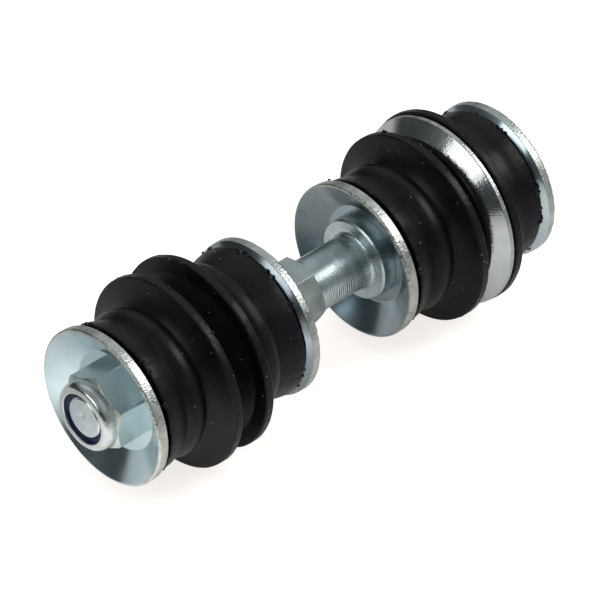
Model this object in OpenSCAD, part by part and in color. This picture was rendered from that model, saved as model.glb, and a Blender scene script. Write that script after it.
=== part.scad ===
// Stabilizer link: a shouldered stud with two pairs of rubber bushings held between dished washers,
// and a nylon insert lock nut at each end. The stud lies along X, the near end at -X, and +Z is up.
// The origin is on the axis, halfway between the crowns of the two nuts.

/* [Stud] */
// Thread diameter at both ends
thread_d = 10; // [9:0.5:12]
// Chamfer at each end of the thread
thread_chamfer = 0.25; // [0.1:0.05:0.8]
// How far each end of the stud lies below the crown of its nut
stud_recess = 0.6; // [0:0.1:2]
// Width of the wrench hexagon across its flats
hex_flats = 16; // [15:0.5:20]
// Diameter of the round bar that the wrench hexagon is cut from, which blunts its corners
hex_bar_d = 17.4; // [16.6:0.1:18.4]
// Length of the wrench hexagon
hex_length = 16.5; // [10:0.5:30]
// Turn of the wrench hexagon about the axis, in degrees
hex_turn = 32; // [0:1:60]
// Diameter of the plain shank between the hexagon and the collar
shank_d = 13; // [11:0.5:14]
// Length of the plain shank
shank_length = 15.9; // [6:0.1:60]
// Radius of the fillet where the shank meets the collar
shank_fillet = 1.2; // [0.4:0.1:2]
// Diameter of the round collar
collar_d = 20; // [18:0.5:24]
// Length of the round collar
collar_length = 3.8; // [2:0.1:8]
// Chamfer of the collar's front edge
collar_chamfer = 0.4; // [0.1:0.1:0.8]

/* [Dished washers] */
// Rim diameter of the four dished washers
washer_d = 38; // [34:0.5:44]
// Diameter of the flat seat in the middle of the dish
washer_flat_d = 24.2; // [22:0.2:28]
// Depth of the dish, from the flat seat to the rim
washer_dish = 4; // [2:0.1:6]
// Sheet thickness of the dished washers
washer_t = 1.5; // [1:0.1:2.5]
// Radial clearance of every washer on the stud
washer_clearance = 0.25; // [0.1:0.05:0.5]

/* [Cup washer] */
// How far the cup's rim stands out past the flange of the bushing in front of it
cup_overhang = 0.1; // [0:0.1:2]
// Angle between the cup's wall and its flat middle, in degrees
cup_wall_angle = 40; // [32:1:50]
// Sheet thickness of the cup
cup_t = 1; // [0.6:0.1:1.6]
// Gap between the cup's rim and the flange above it
cup_rim_gap = 0.2; // [0.1:0.05:0.6]

/* [Rubber bushings] */
// Height of three of the bushings, from flat seat to flange face
bushing_height = 14.8; // [13:0.1:20]
// Height of the shorter bushing that sits in the cup
short_bushing_height = 11.9; // [11.5:0.1:20]
// How far the shorter bushing's flange spreads past the cup's rim
short_flange_overhang = 0.4; // [0:0.1:2]
// Diameter of the band at the washer end
band_d = 37; // [36:0.2:40]
// Length of the band beyond the flat seat
band_length = 1; // [0.5:0.1:1.6]
// Diameter of the waist groove
waist_d = 33.8; // [31:0.2:36]
// Distance of the waist groove behind the flange face
waist_back = 10; // [9.6:0.1:10.2]
// Diameter of the raised ring between the grooves
ring_d = 35.6; // [34:0.2:37]
// Distance of the raised ring behind the flange face
ring_back = 7.3; // [6.8:0.1:8]
// Diameter of the groove at the root of the flange
root_d = 34.6; // [32:0.2:36]
// Distance of the root groove behind the flange face
root_back = 4.9; // [4.4:0.1:5.6]
// Flange diameter of the three equal bushings
flange_d = 47.2; // [44:0.2:50]
// Thickness of the flange's rounded lip
lip_t = 2.4; // [1.6:0.1:3]
// Diameter of the tapered pilot boss where it leaves the flange
boss_d = 39.2; // [34:0.2:40]
// Diameter of the pilot boss at its tip
boss_tip_d = 33; // [26:0.5:34]
// Height of the pilot boss above the flange face
boss_height = 3.5; // [2:0.1:6]
// Gap at the tip of each pilot boss before the nuts are tightened
boss_tip_gap = 0.2; // [0.1:0.05:1]
// Radial clearance of every bushing on the stud
bushing_clearance = 0.25; // [0.1:0.05:0.5]
// How far a bushing's flat seat reaches past the flat of its washer
seat_overhang = 0.6; // [0.2:0.1:1]
// How far the edge of the band reaches over the cone of its washer
end_reach = 1; // [0.5:0.1:1.6]

/* [Lock nuts] */
// Width of the nuts across their flats
nut_flats = 17; // [16:0.5:20]
// Height of the nuts, from seat to crown
nut_height = 10; // [9:0.1:13]
// Height of the nuts' hexagon at its corners
nut_hex_height = 6.1; // [5:0.1:6.6]
// Diameter of the crown that is rolled over the nylon ring
crown_d = 15.6; // [14.6:0.1:15.8]
// Diameter of the opening in the crown
crown_opening_d = 12.3; // [12:0.1:12.8]
// Outer diameter of the nylon ring
nylon_d = 13.6; // [13:0.1:14]
// Height of the nylon ring
nylon_height = 2.4; // [1.6:0.1:2.6]
// Depth of the nylon ring below the roll of the crown
nylon_recess = 0.1; // [0:0.05:0.4]
// Turn of the near nut about the axis, in degrees
near_nut_turn = 4; // [0:1:60]
// Turn of the far nut about the axis, in degrees
far_nut_turn = 22; // [0:1:60]
// Radial clearance between the thread and the nuts
thread_clearance = 0.05; // [0.02:0.01:0.1]

/* [Hidden] */

// Facets of a full turn, which the exact solids don't depend on
$fn = 96;
// Segments of each eased or rounded stretch of a profile
steps = 6;
// Angle of the chamfers on the hexagons
hex_chamfer_angle = 30;
// Width of the ring of flat that a hexagon's chamfer leaves inside its flats
hex_face_margin = 0.2;
// Room outside a nut's corners, so that only its chamfers trim them
corner_room = 1;

thread_r = thread_d / 2;
washer_bore_r = thread_r + washer_clearance;
bushing_bore_r = thread_r + bushing_clearance;
nut_bore_r = thread_r + thread_clearance;

// Dish of the washers: its slope, and the sheet's thickness measured along the axis
dish_slope = washer_dish / (washer_d - washer_flat_d) * 2;
dish_axial_t = washer_t * sqrt(1 + dish_slope * dish_slope);
washer_back_r = washer_flat_d / 2 + (dish_axial_t - washer_t) / dish_slope;

// Cup: a flat middle inside a conical wall, whose rim stops just short of the flange above it
cup_d = flange_d + 2 * cup_overhang;
short_flange_d = cup_d + 2 * short_flange_overhang;
cup_depth = boss_tip_gap + boss_height - cup_rim_gap;
cup_slope = tan(cup_wall_angle);
cup_axial_t = cup_t / cos(cup_wall_angle);
cup_flat_r = cup_d / 2 - cup_depth / cup_slope;
cup_back_r = cup_flat_r + (cup_axial_t - cup_t) / cup_slope;

// Lock nut, measured up from its seat: the crown's roll, then the top and floor of the nylon ring's pocket
roll_r = (crown_d - crown_opening_d) / 4;
nylon_top = nut_height - roll_r - nylon_recess;
pocket_floor = nylon_top - nylon_height;

// Stack-up along the axis
near_gap = 2 * boss_height + boss_tip_gap;
near_stack = 2 * (washer_t + bushing_height) + near_gap + nut_height;
middle_length = hex_length + shank_length + collar_length;
far_boss_stack = 2 * (boss_height + boss_tip_gap) + cup_t;
far_stack = 2 * washer_t + bushing_height + far_boss_stack + short_bushing_height + nut_height;
near_end_x = -(near_stack + middle_length + far_stack) / 2;
far_end_x = -near_end_x;
near_seat_x = near_end_x + nut_height;
far_seat_x = far_end_x - nut_height;
near_shoulder_x = near_end_x + near_stack;
hex_end_x = near_shoulder_x + hex_length;
collar_front_x = hex_end_x + shank_length;
far_shoulder_x = collar_front_x + collar_length;
cup_x = far_shoulder_x + washer_t + bushing_height + boss_height + boss_tip_gap;

zinc = [0.75, 0.78, 0.79];
rubber = [0.12, 0.12, 0.13];
nylon = [0.16, 0.17, 0.30];

// Points from a to b, written [radius, height], that leave a and reach b along the axis
function eased(a, b) =
  [for (i = [1:steps])
    let (q = i / steps) [a[0] + (b[0] - a[0]) * (1 - cos(180 * q)) / 2, a[1] + (b[1] - a[1]) * q]];

// Quarter of an ellipse from a to b that leaves a along the axis and reaches b along the radius
function quarter(a, b) =
  [for (i = [1:steps])
    let (q = 90 * i / steps) [b[0] - (b[0] - a[0]) * cos(q), a[1] + (b[1] - a[1]) * sin(q)]];

// Round stretch about a centre, from one angle to another
function arc(centre, r, from, to) =
  [for (i = [0:steps]) let (q = from + (to - from) * i / steps) centre + r * [cos(q), sin(q)]];

// Lays a shape made along +Z on the axis at x, pointing towards +X or, with way at -1, towards -X
module on_axis(x, way) {
  translate([x, 0, 0]) rotate([0, 90 * way, 0]) children();
}

// Hexagon cut on a round bar, with both ends chamfered down to the circle inside its flats
module wrench_hex() {
  bar_r = hex_bar_d / 2;
  face_r = hex_flats / 2 - hex_face_margin;
  rise = (bar_r - face_r) * tan(hex_chamfer_angle);
  intersection() {
    linear_extrude(hex_length) circle(r = hex_flats / sqrt(3), $fn = 6);
    rotate_extrude() polygon([
      [0, 0], [face_r, 0], [bar_r, rise],
      [bar_r, hex_length - rise], [face_r, hex_length], [0, hex_length]
    ]);
  }
}

// Sheet steel washer, dished away from the bushing that sits on its back at +Z
module dished_washer() {
  color(zinc) rotate_extrude() polygon([
    [washer_bore_r, 0], [washer_flat_d / 2, 0], [washer_d / 2, -washer_dish],
    [washer_d / 2, dish_axial_t - washer_dish], [washer_back_r, washer_t], [washer_bore_r, washer_t]
  ]);
}

// Rubber bushing of a given height and flange diameter: a shallow dished end on the washer, a ribbed
// waist, a flange with a rounded lip and a tapered pilot boss
module bushing(height, flange) {
  seat_r = washer_back_r + seat_overhang;
  band_r = band_d / 2;
  lip_r = lip_t / 2;
  band_top = [band_r, band_length];
  waist = [waist_d / 2, height - waist_back];
  raised_ring = [ring_d / 2, height - ring_back];
  root = [root_d / 2, height - root_back];
  lip_back = [flange / 2 - lip_r, height - lip_t];
  lip_centre = [flange / 2 - lip_r, height - lip_r];
  color(rubber) rotate_extrude() polygon(concat(
    [[bushing_bore_r, 0], [seat_r, 0], [band_r, -end_reach], band_top],
    eased(band_top, waist),
    eased(waist, raised_ring),
    eased(raised_ring, root),
    quarter(root, lip_back),
    arc(lip_centre, lip_r, -90 + 180 / steps, 90),
    [[boss_d / 2, height], [boss_tip_d / 2, height + boss_height], [bushing_bore_r, height + boss_height]]
  ));
}

// Wide cup that opens towards +Z, with its flat back at the origin
module cup_washer() {
  color(zinc) rotate_extrude() polygon([
    [washer_bore_r, 0], [cup_back_r, 0], [cup_d / 2, cup_t + cup_depth - cup_axial_t],
    [cup_d / 2, cup_t + cup_depth], [cup_flat_r, cup_t], [washer_bore_r, cup_t]
  ]);
}

// Lock nut with its seat at the origin: a hexagon, a neck and a crown rolled over the nylon ring's pocket
module lock_nut() {
  corner_r = nut_flats / sqrt(3);
  outer_r = corner_r + corner_room;
  face_r = nut_flats / 2 - hex_face_margin;
  rise = tan(hex_chamfer_angle);
  crown_r = crown_d / 2;
  neck_z = nut_hex_height + (corner_r - crown_r) * rise;
  color(zinc) intersection() {
    linear_extrude(nut_height) circle(r = corner_r, $fn = 6);
    rotate_extrude() polygon(concat(
      [[nut_bore_r, 0], [face_r, 0], [outer_r, (outer_r - face_r) * rise]],
      [[outer_r, nut_hex_height - (outer_r - corner_r) * rise], [crown_r, neck_z]],
      arc([crown_r - roll_r, nut_height - roll_r], roll_r, 0, 180),
      [[crown_opening_d / 2, nylon_top], [nylon_d / 2, nylon_top]],
      [[nylon_d / 2, pocket_floor], [nut_bore_r, pocket_floor]]
    ));
  }
}

// Nylon ring that fills the pocket in a lock nut's crown
module nylon_ring() {
  color(nylon) rotate_extrude() polygon([
    [nut_bore_r, pocket_floor], [nylon_d / 2, pocket_floor],
    [nylon_d / 2, nylon_top], [nut_bore_r, nylon_top]
  ]);
}

module link_stud() {
  near_tip = near_end_x + stud_recess;
  far_tip = far_end_x - stud_recess;
  shank_r = shank_d / 2;
  collar_r = collar_d / 2;
  fillet_centre = [shank_r + shank_fillet, collar_front_x - shank_fillet];
  color(zinc) {
    rotate([0, 90, 0]) rotate_extrude() polygon(concat(
      [[0, near_tip], [thread_r - thread_chamfer, near_tip], [thread_r, near_tip + thread_chamfer]],
      [[thread_r, near_shoulder_x], [shank_r, near_shoulder_x]],
      arc(fillet_centre, shank_fillet, 180, 90),
      [[collar_r - collar_chamfer, collar_front_x], [collar_r, collar_front_x + collar_chamfer]],
      [[collar_r, far_shoulder_x], [thread_r, far_shoulder_x]],
      [[thread_r, far_tip - thread_chamfer], [thread_r - thread_chamfer, far_tip], [0, far_tip]]
    ));
    rotate([hex_turn, 0, 0]) on_axis(near_shoulder_x, 1) wrench_hex();
  }
}

module near_lock_nut() {
  rotate([near_nut_turn, 0, 0]) on_axis(near_seat_x, -1) lock_nut();
}

module near_nylon_ring() {
  on_axis(near_seat_x, -1) nylon_ring();
}

module near_outer_washer() {
  on_axis(near_seat_x, 1) dished_washer();
}

module near_outer_bushing() {
  on_axis(near_seat_x + washer_t, 1) bushing(bushing_height, flange_d);
}

module near_inner_bushing() {
  on_axis(near_shoulder_x - washer_t, -1) bushing(bushing_height, flange_d);
}

module near_inner_washer() {
  on_axis(near_shoulder_x, -1) dished_washer();
}

module far_inner_washer() {
  on_axis(far_shoulder_x, 1) dished_washer();
}

module far_inner_bushing() {
  on_axis(far_shoulder_x + washer_t, 1) bushing(bushing_height, flange_d);
}

module far_cup_washer() {
  on_axis(cup_x, 1) cup_washer();
}

module far_outer_bushing() {
  on_axis(far_seat_x - washer_t, -1) bushing(short_bushing_height, short_flange_d);
}

module far_outer_washer() {
  on_axis(far_seat_x, -1) dished_washer();
}

module far_lock_nut() {
  rotate([far_nut_turn, 0, 0]) on_axis(far_seat_x, 1) lock_nut();
}

module far_nylon_ring() {
  on_axis(far_seat_x, 1) nylon_ring();
}

link_stud();
near_lock_nut();
near_nylon_ring();
near_outer_washer();
near_outer_bushing();
near_inner_bushing();
near_inner_washer();
far_inner_washer();
far_inner_bushing();
far_cup_washer();
far_outer_bushing();
far_outer_washer();
far_lock_nut();
far_nylon_ring();
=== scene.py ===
# %% [markdown]
# # A stabilizer link on a white table
#
# A stabilizer link ties a car's sway bar to its suspension. This one is a zinc-plated stud with a lock
# nut at each end, four dished washers, a pressed cup and four rubber bushings, all turned about one axis.
# The CAD frame gives every piece its place, so the lesson only makes each surface look like the real one.

# %% Load the frame
import math

import bmesh
import bpy
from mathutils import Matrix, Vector, noise


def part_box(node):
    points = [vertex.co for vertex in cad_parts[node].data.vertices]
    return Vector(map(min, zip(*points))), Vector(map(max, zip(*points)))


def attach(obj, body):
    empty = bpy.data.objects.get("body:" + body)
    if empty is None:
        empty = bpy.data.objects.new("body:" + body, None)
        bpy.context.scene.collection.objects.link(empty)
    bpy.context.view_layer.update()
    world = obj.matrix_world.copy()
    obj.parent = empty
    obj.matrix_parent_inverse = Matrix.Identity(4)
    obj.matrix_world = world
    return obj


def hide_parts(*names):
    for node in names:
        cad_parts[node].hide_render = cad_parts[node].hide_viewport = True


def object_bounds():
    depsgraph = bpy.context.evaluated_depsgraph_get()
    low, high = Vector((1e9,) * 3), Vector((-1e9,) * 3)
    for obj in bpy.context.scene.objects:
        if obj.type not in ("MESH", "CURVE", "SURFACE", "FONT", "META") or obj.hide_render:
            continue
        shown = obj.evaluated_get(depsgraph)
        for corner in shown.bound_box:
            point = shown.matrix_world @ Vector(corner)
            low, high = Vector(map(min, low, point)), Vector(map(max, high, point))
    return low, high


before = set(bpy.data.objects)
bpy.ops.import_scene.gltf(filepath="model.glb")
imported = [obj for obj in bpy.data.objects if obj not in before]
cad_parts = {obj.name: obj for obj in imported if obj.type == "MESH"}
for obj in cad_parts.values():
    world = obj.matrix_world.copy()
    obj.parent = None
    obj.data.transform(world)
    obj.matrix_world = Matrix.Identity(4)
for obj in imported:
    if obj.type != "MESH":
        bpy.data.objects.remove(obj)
cad_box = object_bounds()
scene = bpy.context.scene
MM = 0.001
print("nodes in the frame:", len(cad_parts))

# %% [markdown]
# ## The camera
#
# The photograph was taken with a long lens from above the left front, so the ellipses of the washers are
# nearly the same shape from end to end. A camera could be placed by eye, but here its angles, distance and
# lens were measured from those ellipses, and the small shift puts the link where the photograph has it.

# %% Camera
VIEW_AZIMUTH, VIEW_ELEVATION = math.radians(-43.50), math.radians(38.27)
VIEW_DISTANCE = 1.1803
IMAGE_SIDE, SENSOR_MM, FOCAL_PIXELS = 600, 36.0, 5247.6
AXIS_MIDDLE = Vector((-0.05 * MM, 0, 0))
MIDDLE_PIXEL = (304.4, 288.6)

to_camera = Vector((
    math.sin(VIEW_AZIMUTH) * math.cos(VIEW_ELEVATION),
    -math.cos(VIEW_AZIMUTH) * math.cos(VIEW_ELEVATION),
    math.sin(VIEW_ELEVATION),
))
lens = bpy.data.cameras.new("long lens")
lens.sensor_width = SENSOR_MM
lens.lens = FOCAL_PIXELS * SENSOR_MM / IMAGE_SIDE
lens.shift_x = (IMAGE_SIDE / 2 - MIDDLE_PIXEL[0]) / IMAGE_SIDE
lens.shift_y = (MIDDLE_PIXEL[1] - IMAGE_SIDE / 2) / IMAGE_SIDE
camera = bpy.data.objects.new("camera", lens)
camera.location = AXIS_MIDDLE + to_camera * VIEW_DISTANCE
camera.rotation_euler = (-to_camera).to_track_quat("-Z", "Y").to_euler()
scene.collection.objects.link(camera)
scene.camera = camera
scene.view_settings.view_transform = "Standard"
print("lens of", round(lens.lens, 1), "mm")

# %% [markdown]
# ## Colours and nodes
#
# Colours are written as the sRGB hex values a picture editor shows, and Blender's shaders want linear
# light, so one function turns one into the other. One more function adds a node with its settings and
# links in a single line, which keeps the material trees below short enough to read.

# %% Helpers for colours and nodes
def linear(hex_colour):
    """Linear RGBA of an sRGB colour such as #d8e0e2."""
    parts = [int(hex_colour[i:i + 2], 16) / 255 for i in (1, 3, 5)]
    return [p / 12.92 if p <= 0.04045 else ((p + 0.055) / 1.055) ** 2.4 for p in parts] + [1]


def add(tree, kind, settings=None, inputs=None, stops=None):
    """Adds a node, then sets its properties, its inputs (a value or a socket to link) and its ramp."""
    node = tree.nodes.new(kind)
    for name, value in (settings or {}).items():
        setattr(node, name, value)
    for name, value in (inputs or {}).items():
        if isinstance(value, bpy.types.NodeSocket):
            tree.links.new(value, node.inputs[name])
        else:
            node.inputs[name].default_value = value
    for place, (position, colour) in enumerate(stops or []):
        steps = node.color_ramp.elements
        step = steps[place] if place < len(steps) else steps.new(position)
        step.position, step.color = position, linear(colour)
    return node


def new_material(name):
    """An empty material, its node tree and its output node."""
    material = bpy.data.materials.new(name)
    material.use_nodes = True
    material.node_tree.nodes.clear()
    return material, material.node_tree, add(material.node_tree, "ShaderNodeOutputMaterial")


print("zinc's light tint in linear light:", [round(v, 3) for v in linear("#dbe3e5")])

# %% [markdown]
# ## Zinc plate
#
# Every metal piece is steel, plated with bright zinc and passivated to a faint blue. The plate copies the
# steel below it, so pressed sheet stays smooth and mirrors the room with a fine grain, a sheared edge
# stays torn, and a turned face keeps its tool marks. A material for each piece could be built by hand, but
# one recipe makes all of them alike: patches that shift the tint and the gloss, and a grain that is
# stretched along the way the tool moved.

# %% Zinc recipe
NOISE_LOW, NOISE_HIGH = 0.3, 0.7


def zinc_plate(name, tints, gloss, patch_mm, grain_mm, grain_depth_mm, stretch=(1, 1, 1)):
    """Metal with patches of tint and gloss and a fine grain in its surface."""
    material, tree, output = new_material(name)
    place = add(tree, "ShaderNodeTexCoord").outputs["Object"]
    patches = add(tree, "ShaderNodeTexNoise", inputs={
        "Vector": place, "Scale": 1 / (patch_mm * MM), "Detail": 4, "Roughness": 0.6})
    tint = add(tree, "ShaderNodeValToRGB", inputs={"Fac": patches.outputs["Fac"]},
               stops=list(zip((NOISE_LOW, NOISE_HIGH), tints)))
    rough = add(tree, "ShaderNodeMapRange", inputs={
        "Value": patches.outputs["Fac"], "From Min": NOISE_LOW, "From Max": NOISE_HIGH,
        "To Min": gloss[0], "To Max": gloss[1]})
    along = add(tree, "ShaderNodeMapping", inputs={"Vector": place, "Scale": stretch})
    grain = add(tree, "ShaderNodeTexNoise", inputs={
        "Vector": along.outputs["Vector"], "Scale": 1 / (grain_mm * MM), "Detail": 3,
        "Roughness": 0.55})
    relief = add(tree, "ShaderNodeBump", inputs={
        "Height": grain.outputs["Fac"], "Distance": grain_depth_mm * MM, "Strength": 1})
    shader = add(tree, "ShaderNodeBsdfPrincipled", inputs={
        "Base Color": tint.outputs["Color"], "Metallic": 1, "Roughness": rough.outputs["Result"],
        "Normal": relief.outputs["Normal"]})
    tree.links.new(shader.outputs["BSDF"], output.inputs["Surface"])
    return material


print("a noise texture runs from about", NOISE_LOW, "to", NOISE_HIGH)

# %% Zinc finishes
# outer washers: clear blue passivation on smooth pressed strip
blue_zinc = zinc_plate("blue zinc on pressed strip", ("#b2c9cf", "#c8dade"),
                       (0.14, 0.22), 9, 0.35, 0.003)
# inner washers: the same strip with painted shade, a darker and greyer tint for the shade they sit in
# between the bushings
shade_darkened_zinc = zinc_plate("zinc on pressed strip with painted shade", ("#88979d", "#a3b0b5"),
                       (0.16, 0.24), 9, 0.35, 0.003)
# cup sheet: nearly a mirror, broken by the sheet's fine grain, which is drawn coarser so that it shows
cup_zinc = zinc_plate("bright zinc on thin sheet", ("#bcc5c6", "#d0d4d2"),
                      (0.09, 0.17), 5, 0.55, 0.030)
# sheared edge: dull and warm, with short tears across the sheet, drawn coarser so that they sparkle
sheared_zinc = zinc_plate("zinc on a sheared edge", ("#989d95", "#c6cac2"),
                          (0.20, 0.38), 2.5, 0.46, 0.145, (0.45, 1, 1))
# turned steel: soft gloss with rings left by the tool
turned_zinc = zinc_plate("zinc on turned steel", ("#b0bec0", "#cad5d6"),
                         (0.20, 0.32), 4, 0.36, 0.040, (2.4, 0.5, 0.5))
# drawn hexagon of the stud: satin and a little green
drawn_zinc = zinc_plate("zinc on drawn steel", ("#98a2a0", "#b2bbb8"),
                        (0.34, 0.48), 4, 0.40, 0.010)
# cold formed nut: satin flats
formed_zinc = zinc_plate("zinc on a cold formed nut", ("#c0d0d1", "#d3dfdf"),
                         (0.40, 0.52), 5, 0.40, 0.012)
# rolled crown of the nut: burnished bright by the rolling tool
crown_zinc = zinc_plate("zinc on a rolled crown", ("#b4bcbc", "#cdd2d0"),
                        (0.10, 0.18), 3, 0.45, 0.040)
print("made", [material.name for material in bpy.data.materials if "zinc" in material.name])

# %% [markdown]
# ## Rubber
#
# The bushings are black moulded rubber. The mould leaves a matt skin with a fine grain, slightly greyer
# where it was rubbed, and soft highlights where a ring turns towards the light. A plain black shader would
# look like a hole in the picture, so a dark base gets a skin with a grain and a patchy gloss.

# %% Rubber
RUBBED_MM, SKIN_MM, SKIN_DEPTH_MM = 6, 0.45, 0.03

# moulded rubber: a dark body under a skin with a soft, patchy gloss
rubber, tree, output = new_material("moulded black rubber")
place = add(tree, "ShaderNodeTexCoord").outputs["Object"]
rubbed = add(tree, "ShaderNodeTexNoise", inputs={
    "Vector": place, "Scale": 1 / (RUBBED_MM * MM), "Detail": 5, "Roughness": 0.6})
colour = add(tree, "ShaderNodeValToRGB", inputs={"Fac": rubbed.outputs["Fac"]},
             stops=[(0.3, "#0d0b0d"), (0.72, "#161316")])
gloss = add(tree, "ShaderNodeMapRange", inputs={
    "Value": rubbed.outputs["Fac"], "From Min": NOISE_LOW, "From Max": NOISE_HIGH,
    "To Min": 0.27, "To Max": 0.42})
skin = add(tree, "ShaderNodeTexNoise", inputs={
    "Vector": place, "Scale": 1 / (SKIN_MM * MM), "Detail": 3, "Roughness": 0.6})
relief = add(tree, "ShaderNodeBump", inputs={
    "Height": skin.outputs["Fac"], "Distance": SKIN_DEPTH_MM * MM, "Strength": 1})
shader = add(tree, "ShaderNodeBsdfPrincipled", inputs={
    "Base Color": colour.outputs["Color"], "Roughness": gloss.outputs["Result"], "IOR": 1.5,
    "Specular IOR Level": 0.17, "Normal": relief.outputs["Normal"]})
tree.links.new(shader.outputs["BSDF"], output.inputs["Surface"])
print("made", rubber.name)

# %% [markdown]
# ## Nylon and dust
#
# The locking ring in each nut is navy nylon with the soft gloss of moulded plastic and faint marks where
# the melt flowed. The rubber carries a few pale specks of dust. Specks could be painted into the rubber's
# material, but as small meshes with a material of their own they stand up from the skin and catch light.

# %% Nylon
FLOW_MM, FLOW_DEPTH_MM = 1.8, 0.03

# moulded nylon: deep navy, with faint flow marks and a soft gloss
nylon, tree, output = new_material("navy moulded nylon")
place = add(tree, "ShaderNodeTexCoord").outputs["Object"]
flow = add(tree, "ShaderNodeTexNoise", inputs={
    "Vector": place, "Scale": 1 / (FLOW_MM * MM), "Detail": 4})
colour = add(tree, "ShaderNodeValToRGB", inputs={"Fac": flow.outputs["Fac"]},
             stops=[(NOISE_LOW, "#14183c"), (NOISE_HIGH, "#262a58")])
relief = add(tree, "ShaderNodeBump", inputs={
    "Height": flow.outputs["Fac"], "Distance": FLOW_DEPTH_MM * MM, "Strength": 1})
shader = add(tree, "ShaderNodeBsdfPrincipled", inputs={
    "Base Color": colour.outputs["Color"], "Roughness": 0.35, "IOR": 1.53, "Specular IOR Level": 0.15,
    "Normal": relief.outputs["Normal"]})
tree.links.new(shader.outputs["BSDF"], output.inputs["Surface"])
print("made", nylon.name)

# %% Dust
DUST_PATCH_MM = 2

# dust: dry and matt, from grey to nearly white
dust, tree, output = new_material("pale dust")
place = add(tree, "ShaderNodeTexCoord").outputs["Object"]
shade = add(tree, "ShaderNodeTexNoise", inputs={"Vector": place, "Scale": 1 / (DUST_PATCH_MM * MM)})
colour = add(tree, "ShaderNodeValToRGB", inputs={"Fac": shade.outputs["Fac"]},
             stops=[(0.35, "#8a8887"), (0.65, "#dcd9d3")])
shader = add(tree, "ShaderNodeBsdfPrincipled", inputs={
    "Base Color": colour.outputs["Color"], "Roughness": 0.9})
tree.links.new(shader.outputs["BSDF"], output.inputs["Surface"])
print("made", dust.name)

# %% [markdown]
# ## Outlines and turning
#
# Nearly every piece is a body of revolution. A Screw modifier could turn an outline, but code that sweeps
# the outline itself lets the outline change with the angle, so the same function makes the hexagons and
# lets edges wander a little, as real ones do. Corners are rounded in the outline, because an edge with no
# radius catches no light.

# %% Rounded outlines
def softened(corners, steps=5, room=0.06, closed=True):
    """Outline of (x, r) points in mm from corners (x, r, radius), with each corner rounded.

    A point just off each end of a round keeps the flats beside it shading flat."""
    outline = []
    last = len(corners) - 1
    for i, (x, r, radius) in enumerate(corners):
        here = Vector((x, r))
        if radius == 0 or (not closed and i in (0, last)):
            outline.append((x, r))
            continue
        back = (Vector(corners[i - 1][:2]) - here).normalized()
        ahead = (Vector(corners[(i + 1) % len(corners)][:2]) - here).normalized()
        half = back.angle(ahead) / 2
        cut = radius / math.tan(half)
        centre = here + (back + ahead).normalized() * (radius / math.sin(half))
        start, end = here + back * cut - centre, here + ahead * cut - centre
        outline.append(tuple(centre + start + back * room))
        outline += [tuple(centre + start.slerp(end, k / steps) * radius) for k in range(steps + 1)]
        outline.append(tuple(centre + end + ahead * room))
    return outline


soft_square = softened([(0, 1, 0.1), (1, 1, 0.1), (1, 2, 0.1), (0, 2, 0.1)])
print("a square with soft corners has", len(soft_square), "points")

# %% Sweep about the axis
MERGE_MM, SLIVER_MM, SHARP_FROM = 0.0005, 0.0002, math.radians(40)


def turns(count):
    """Angles in radians that divide a full turn."""
    return [math.tau * i / count for i in range(count)]


def swept(name, outline_at, angles, finishes, finish_of=None, closed=True):
    """Object whose mesh joins the outlines, in mm, that outline_at gives for each angle about X.

    finish_of gives the number of the finish for each side of the outline at each angle."""
    rows = [outline_at(angle) for angle in angles]
    count = len(rows[0])
    sides = count if closed else count - 1
    points = [(x * MM, r * math.cos(a) * MM, r * math.sin(a) * MM)
              for a, row in zip(angles, rows) for x, r in row]
    faces = []
    for i in range(len(angles)):
        k = (i + 1) % len(angles)
        for j in range(sides):
            m = (j + 1) % count
            faces.append((i * count + j, k * count + j, k * count + m, i * count + m))
    mesh = bpy.data.meshes.new(name)
    mesh.from_pydata(points, [], faces)
    if finish_of:
        chosen = [finish_of(side, angle) for angle in angles for side in range(sides)]
        mesh.polygons.foreach_set("material_index", chosen)
    work = bmesh.new()
    work.from_mesh(mesh)
    bmesh.ops.remove_doubles(work, verts=work.verts, dist=MERGE_MM * MM)
    bmesh.ops.dissolve_degenerate(work, edges=work.edges, dist=SLIVER_MM * MM)
    bmesh.ops.recalc_face_normals(work, faces=work.faces)
    for face in work.faces:
        face.smooth = True
    work.to_mesh(mesh)
    work.free()
    for finish in finishes:
        mesh.materials.append(finish)
    mesh.set_sharp_from_angle(angle=SHARP_FROM)
    piece = bpy.data.objects.new(name, mesh)
    scene.collection.objects.link(piece)
    return piece


print("a column for each degree makes", len(turns(360)), "columns")

# %% [markdown]
# ## Wandering edges and dressing
#
# No pressed or moulded edge is quite true. Random numbers for each point would make a saw edge, so the
# lesson reads smooth noise at the point's own place, with a size in mm for its waves. The second function
# gives a finished piece to the frame: it rides on a body and takes the place of its CAD node.

# %% Wandering edges and dressing
def wander(seed, size_mm, x, r, angle):
    """Smooth noise from -1 to 1 over a turned surface, with features of about size_mm."""
    place = Vector((x, r * math.cos(angle), r * math.sin(angle))) / size_mm
    return noise.noise(place + Vector((seed * 17.3, seed * 5.1, -seed * 9.7)))


def dress(piece, node, body):
    """Puts a finished piece in the place of its CAD node."""
    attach(piece, body)
    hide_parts(node)
    print(piece.name, "has", len(piece.data.polygons), "faces")


print("the noise at one place on a rim is", round(wander(1, 9, 0, 19, 0.7), 3))

# %% [markdown]
# ## Dished washers
#
# Each washer was punched from 1.5 mm strip and pressed into a shallow dish. The punch rolls one edge over
# and tears the other, so the rim is a dull band with a ragged bright lip, and the dish itself is a mirror.
# A CAD node with a new material would keep knife edges, so each washer is turned again here, with a rim
# that the press spread, a torn lip that stands out on the side where the press closed, a slightly bulged
# back and a soft bend. It hangs on the stud by its play.

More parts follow.
